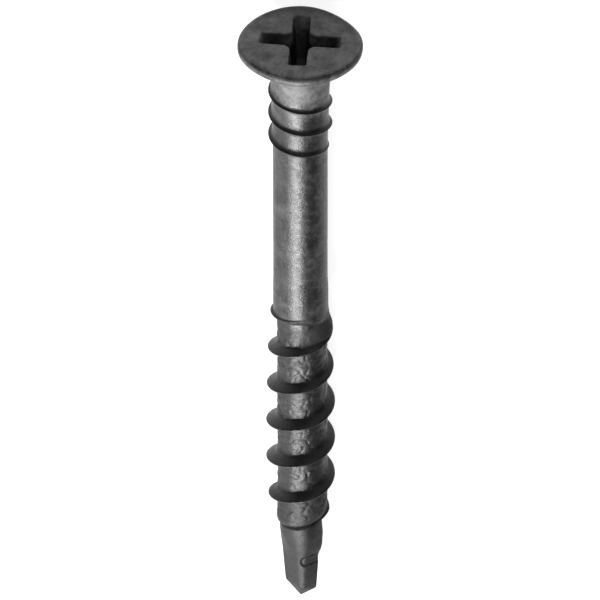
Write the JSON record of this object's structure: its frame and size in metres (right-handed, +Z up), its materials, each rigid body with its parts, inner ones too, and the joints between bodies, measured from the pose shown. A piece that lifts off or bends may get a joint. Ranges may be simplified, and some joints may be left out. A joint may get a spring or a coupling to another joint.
{
  "type": "drywall screw",
  "caption": "Countersunk cross-recess drywall screw with a shallow reversed thread under the head, a plain shank, a coarse thread and a pinched drill point, lying down.",
  "frame": {"origin": "centre of the lying screw's box, at floor height", "axes": "+Y along the screw from head to tip, +Z up; the screw lies on the rim of its head and one crest of its coarse thread, so its axis falls about 3 degrees towards the tip"},
  "size_m": [0.008, 0.0451, 0.0081],
  "materials": {
    "phosphated_steel": "satin black phosphate on steel"
  },
  "bodies": {
    "root": {"screw": "phosphated_steel"}
  },
  "joints": []
}
